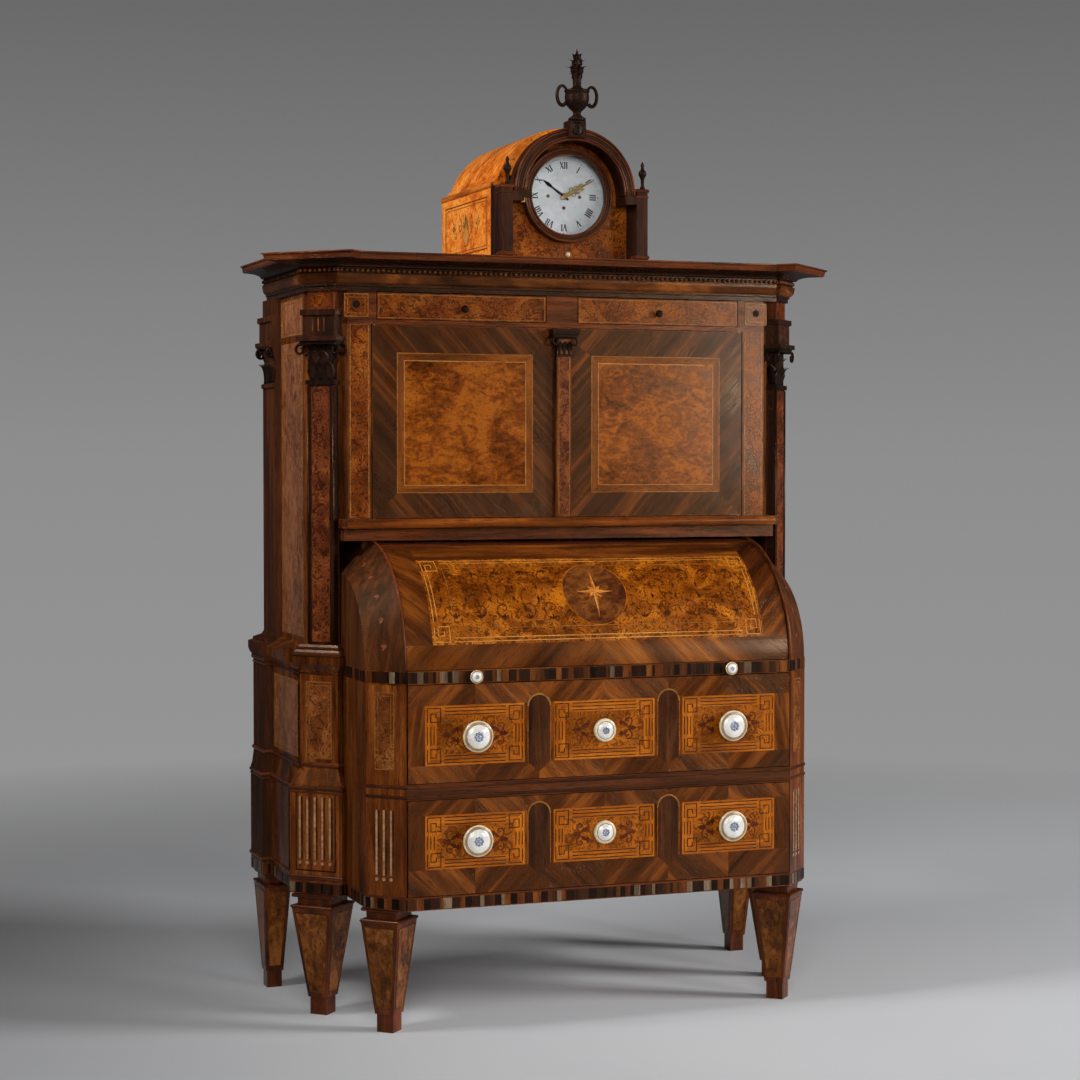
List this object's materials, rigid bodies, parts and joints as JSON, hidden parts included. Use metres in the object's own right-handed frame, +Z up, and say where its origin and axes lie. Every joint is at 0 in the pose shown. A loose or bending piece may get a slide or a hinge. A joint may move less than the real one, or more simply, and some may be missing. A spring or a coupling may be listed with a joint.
{
  "type": "cylinder desk",
  "caption": "Cylinder desk with a pull-out writing slide under a quarter-round fall, long drawers on tapered legs, a pilastered door cabinet above and an arched clock on its cornice.",
  "frame": {"origin": "on the floor, under the middle of the whole piece", "axes": "+Z up, +X to the right when facing the desk, +Y to the back"},
  "size_m": [1.3422, 0.679, 2.085],
  "materials": {
    "burl_veneer": "polished burl veneer",
    "marquetry": "polished marquetry veneer",
    "dark_wood": "dark polished wood",
    "orange_veneer": "polished orange veneer",
    "plain_wood": "plain oak",
    "ceramic": "white glaze",
    "enamel": "white enamel",
    "brass": "polished",
    "blued_steel": "blued",
    "glass": "clear"
  },
  "bodies": {
    "carcase": {"back_panel": "plain_wood", "cabinet_ceiling": "dark_wood", "cabinet_shelf": "plain_wood", "cheek_left": "marquetry", "cheek_right": "marquetry", "clock_case": "orange_veneer", "clock_finials": "dark_wood", "clock_hood": "dark_wood", "clock_movement": "brass", "clock_panel": "orange_veneer", "clock_roof": "orange_veneer", "corner_post_left": "marquetry", "corner_post_right": "marquetry", "cornice": "dark_wood", "desk_shelf": "dark_wood", "desk_side_left": "marquetry", "desk_side_right": "marquetry", "dial": "enamel", "drawer_rail": "dark_wood", "frieze_blocks": "marquetry", "front_stile_left": "marquetry", "front_stile_right": "marquetry", "leg_front_left": "marquetry", "leg_front_right": "marquetry", "leg_middle_left": "marquetry", "leg_middle_right": "marquetry", "leg_rear_left": "marquetry", "leg_rear_right": "marquetry", "pedestal_left": "marquetry", "pedestal_right": "marquetry", "pigeonholes": "plain_wood", "pilaster_left": "marquetry", "pilaster_right": "marquetry", "pivot_pins": "brass", "plinth": "dark_wood", "rear_pilaster_left": "marquetry", "rear_pilaster_right": "marquetry", "wing_left": "marquetry", "wing_right": "marquetry"},
    "writing_slide": {"writing_slide": "dark_wood", "slide_knobs": "ceramic"},
    "cylinder": {"cylinder_shell": "burl_veneer"},
    "upper_drawer": {"upper_drawer_front": "burl_veneer", "upper_drawer_box": "plain_wood", "upper_drawer_knobs": "ceramic"},
    "lower_drawer": {"lower_drawer_front": "burl_veneer", "lower_drawer_box": "plain_wood", "lower_drawer_knobs": "ceramic"},
    "frieze_drawer_left": {"frieze_drawer_left": "burl_veneer", "frieze_knob_left": "dark_wood"},
    "frieze_drawer_right": {"frieze_drawer_right": "burl_veneer", "frieze_knob_right": "dark_wood"},
    "door_left": {"door_left": "burl_veneer"},
    "door_right": {"door_right": "burl_veneer", "door_strip": "marquetry"},
    "clock_bezel": {"bezel": "dark_wood", "bezel_glass": "glass"},
    "minute_hand": {"minute_hand": "blued_steel"},
    "hour_hand": {"hour_hand": "blued_steel"},
    "pendulum": {"pendulum": "brass"}
  },
  "joints": [
    {"name": "slide_pull", "type": "slide", "parent": "carcase", "child": "writing_slide", "axis": [0, -1, 0], "range_m": [0, 0.25]},
    {"name": "cylinder_turn", "type": "hinge", "parent": "carcase", "child": "cylinder", "pos_m": [0, -0.0415, 0.761], "axis": [-1, 0, 0], "range_deg": [0, 80]},
    {"name": "upper_drawer_pull", "type": "slide", "parent": "carcase", "child": "upper_drawer", "axis": [0, -1, 0], "range_m": [0, 0.35]},
    {"name": "lower_drawer_pull", "type": "slide", "parent": "carcase", "child": "lower_drawer", "axis": [0, -1, 0], "range_m": [0, 0.35]},
    {"name": "frieze_left_pull", "type": "slide", "parent": "carcase", "child": "frieze_drawer_left", "axis": [0, -1, 0], "range_m": [0, 0.2]},
    {"name": "frieze_right_pull", "type": "slide", "parent": "carcase", "child": "frieze_drawer_right", "axis": [0, -1, 0], "range_m": [0, 0.2]},
    {"name": "door_left_swing", "type": "hinge", "parent": "carcase", "child": "door_left", "pos_m": [-0.431, -0.048, 1.2785], "axis": [0, 0, -1], "range_deg": [0, 95]},
    {"name": "door_right_swing", "type": "hinge", "parent": "carcase", "child": "door_right", "pos_m": [0.431, -0.048, 1.2785], "axis": [0, 0, 1], "range_deg": [0, 95]},
    {"name": "bezel_swing", "type": "hinge", "parent": "carcase", "child": "clock_bezel", "pos_m": [-0.1085, -0.0953, 1.775], "axis": [0, 0, -1], "range_deg": [0, 50]},
    {"name": "minute_turn", "type": "hinge", "parent": "carcase", "child": "minute_hand", "pos_m": [0, -0.0695, 1.775], "axis": [0, 1, 0], "continuous": true},
    {"name": "hour_turn", "type": "hinge", "parent": "carcase", "child": "hour_hand", "pos_m": [0, -0.0655, 1.775], "axis": [0, 1, 0], "continuous": true},
    {"name": "pendulum_swing", "type": "hinge", "parent": "carcase", "child": "pendulum", "pos_m": [0, 0.0115, 1.86], "axis": [0, 1, 0], "range_deg": [-4, 4]}
  ],
  "couplings": [
    {"joint": "cylinder_turn", "follows": "slide_pull", "rad_per_m": 5.585},
    {"joint": "hour_turn", "follows": "minute_turn", "ratio": 0.083333}
  ]
}
